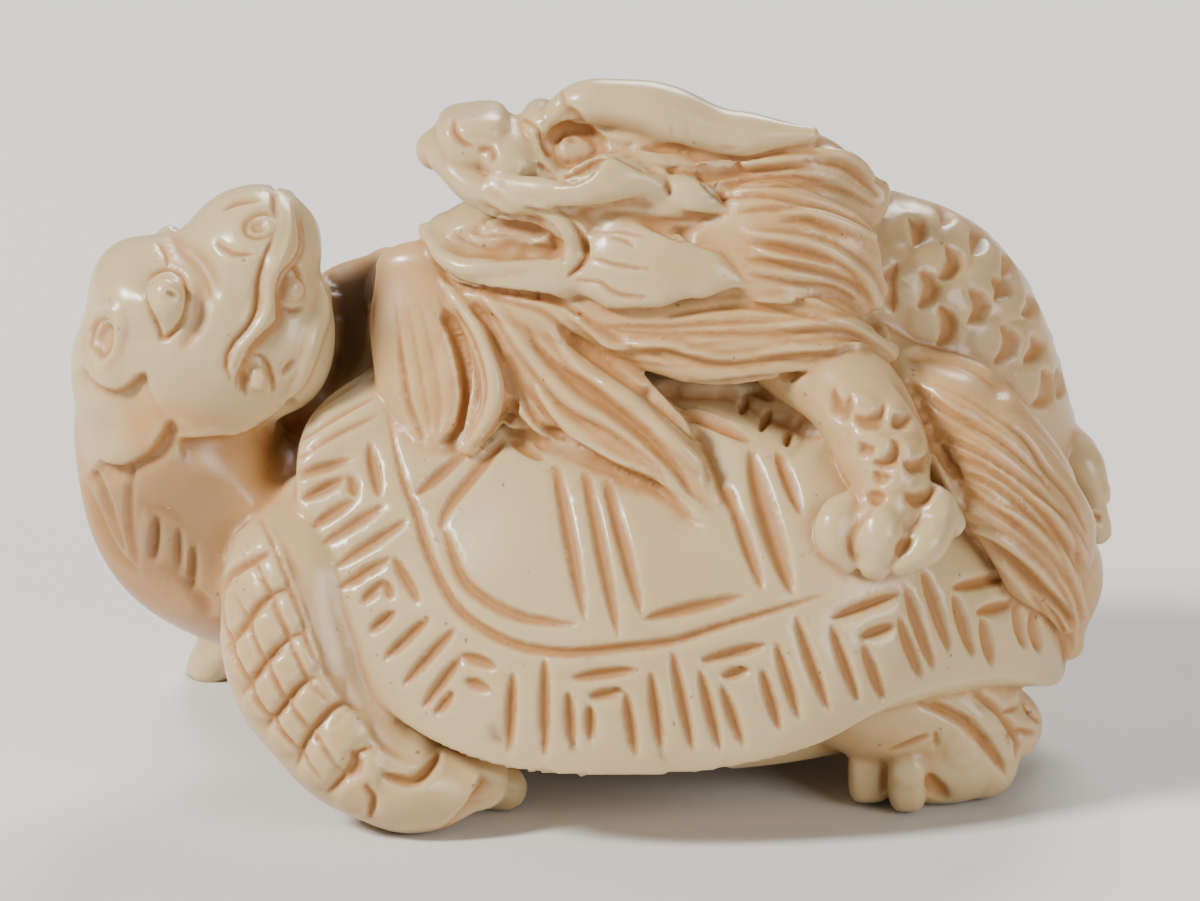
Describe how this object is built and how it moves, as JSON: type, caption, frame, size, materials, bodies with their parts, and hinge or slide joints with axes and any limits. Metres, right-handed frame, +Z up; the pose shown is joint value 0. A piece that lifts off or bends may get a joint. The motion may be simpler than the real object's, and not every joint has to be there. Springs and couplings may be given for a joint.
{
  "type": "turtle netsuke",
  "caption": "Carved and polished ivory toggle: a turtle with a dragon coiled over its shell, a fret border, and cord holes in the belly.",
  "frame": {"origin": "on the surface the netsuke stands on, below the middle of its outline", "axes": "-X towards the turtle's nose, +X towards its tail, -Y the side that the picture shows, +Z up"},
  "size_m": [0.0495, 0.0306, 0.035],
  "materials": {
    "ivory": "ivory, carved and polished, warm cream on the high places and stained orange-brown in the cuts"
  },
  "bodies": {
    "root": {"netsuke": "ivory"}
  },
  "joints": []
}
